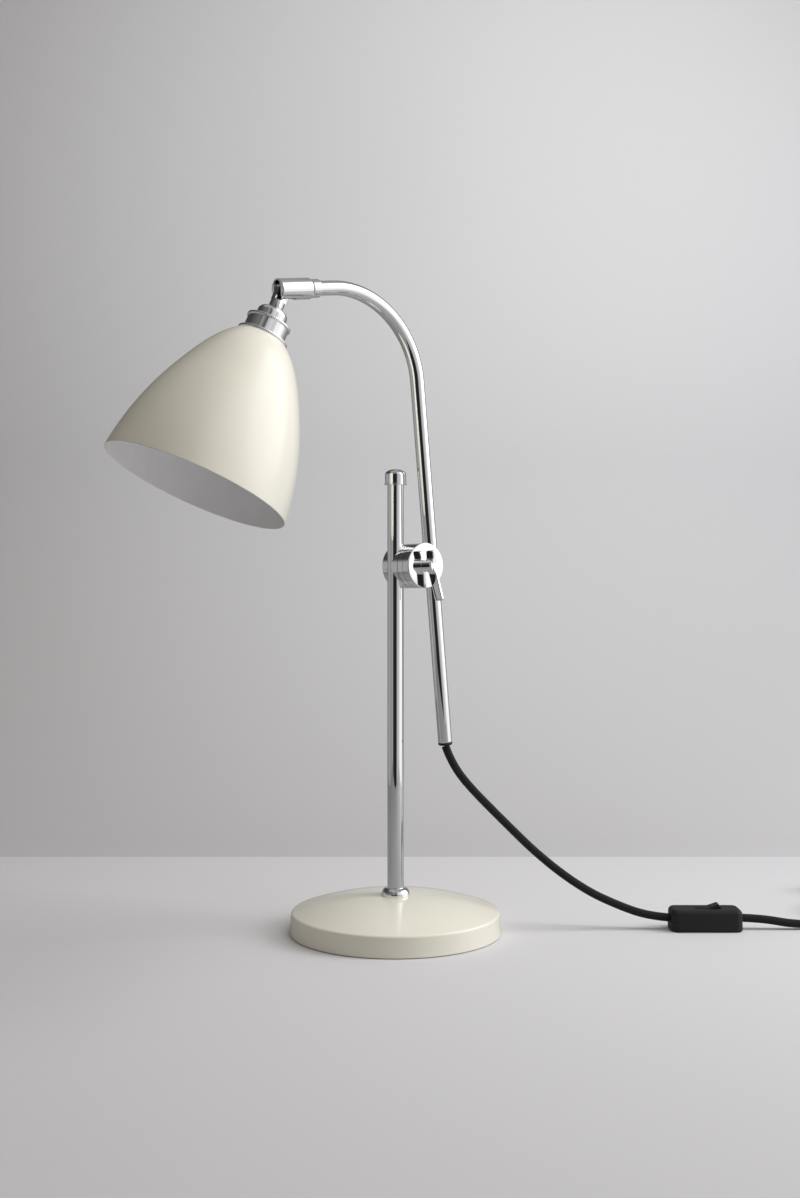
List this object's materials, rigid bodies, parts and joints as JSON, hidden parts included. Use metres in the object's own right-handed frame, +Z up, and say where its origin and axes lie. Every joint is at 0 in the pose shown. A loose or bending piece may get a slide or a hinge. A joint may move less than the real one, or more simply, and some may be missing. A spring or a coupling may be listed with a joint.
{
  "type": "task lamp",
  "caption": "Adjustable task lamp: weighted round base, bright post, swivel clamp with a wing nut, bent sliding arm, knuckle, bell shade and a flex with an in-line switch",
  "frame": {"origin": "middle of the round foot, on the table", "axes": "+Z up along the post; -X the way the head reaches; -Y the side the wing nut faces"},
  "size_m": [0.7047, 0.362, 0.5403],
  "materials": {
    "cream_paint": "gloss",
    "chrome": "polished",
    "steel": "plain",
    "iron": "as cast",
    "felt": "felt",
    "fibre": "matte",
    "black_rubber": "matte",
    "flex_braid": "braided",
    "black_plastic": "matte",
    "brass": "plain"
  },
  "bodies": {
    "stand": {"base_cover": "cream_paint", "base_weight": "iron", "base_plate": "steel", "base_felt": "felt", "base_plate_screw_1": "steel", "base_plate_screw_2": "steel", "base_plate_screw_3": "steel", "post_collar": "chrome"},
    "post": {"post_tube": "chrome", "post_cap": "chrome", "post_stud": "steel", "post_washer": "steel", "post_lock_nut": "steel", "cord_hanging": "flex_braid", "switch_base": "black_plastic", "switch_cover": "black_plastic", "cord_lead_out": "flex_braid", "cord_coil": "flex_braid", "coil_tie": "black_plastic", "plug_boot": "black_rubber", "plug_body": "black_plastic", "plug_pin_near": "brass", "plug_pin_far": "brass"},
    "clamp": {"post_jaw_rear": "chrome", "post_jaw_front": "chrome", "clamp_bolt": "steel"},
    "arm_holder": {"friction_washer": "fibre", "inner_jaw": "chrome", "outer_jaw": "chrome"},
    "wing_nut": {"wing_nut": "chrome"},
    "arm_bush": {"cord_grommet": "black_rubber"},
    "arm": {"arm_tube": "chrome", "arm_ferrule": "chrome", "arm_lead": "flex_braid"},
    "knuckle": {"knuckle_body": "chrome", "pivot_pin": "steel", "tongue_washer_near": "fibre", "tongue_washer_far": "fibre"},
    "head": {"head_stem": "chrome", "holder_cup": "chrome", "holder_skirt": "chrome", "shade_ring": "chrome", "shade": "cream_paint", "shade_carrier": "steel", "lamp_insert": "black_plastic", "socket_shell": "brass", "centre_contact": "brass"},
    "rocker": {"switch_rocker": "black_plastic"}
  },
  "joints": [
    {"name": "clamp_swivel", "type": "hinge", "parent": "stand", "child": "post", "pos_m": [0, 0, 0.2], "axis": [0, 0, 1], "range_deg": [-60, 60]},
    {"name": "clamp_slide", "type": "slide", "parent": "post", "child": "clamp", "axis": [0, 0, 1], "range_m": [-0.035, 0.03], "deforming": ["cord_hanging"]},
    {"name": "arm_tilt", "type": "hinge", "parent": "clamp", "child": "arm_holder", "pos_m": [0.0124, -0.0179, 0.311], "axis": [0, -1, 0], "range_deg": [-10, 15], "deforming": ["cord_hanging"]},
    {"name": "wing_nut_turn", "type": "hinge", "parent": "clamp", "child": "wing_nut", "pos_m": [0.0124, -0.0179, 0.311], "axis": [0, -1, 0], "range_deg": [0, 180]},
    {"name": "arm_slide", "type": "slide", "parent": "arm_holder", "child": "arm_bush", "axis": [-0.1, 0, 0.995], "range_m": [-0.025, 0.025], "deforming": ["cord_hanging"]},
    {"name": "arm_roll", "type": "hinge", "parent": "arm_bush", "child": "arm", "pos_m": [0.02474, -0.0179, 0.31224], "axis": [-0.1, 0, 0.995], "range_deg": [-40, 40]},
    {"name": "head_swivel", "type": "hinge", "parent": "arm", "child": "knuckle", "pos_m": [-0.12478, -0.0179, 0.5255], "axis": [-0.9863, 0, -0.165], "range_deg": [-60, 60]},
    {"name": "head_tilt", "type": "hinge", "parent": "knuckle", "child": "head", "pos_m": [-0.12478, -0.0179, 0.5255], "axis": [-0.0173, 0.9945, 0.1031], "range_deg": [-20, 45]},
    {"name": "switch_rock", "type": "hinge", "parent": "post", "child": "rocker", "pos_m": [0.21504, -0.15925, 0.0162], "axis": [0.6157, 0.788, 0], "range_deg": [0, 24]}
  ]
}
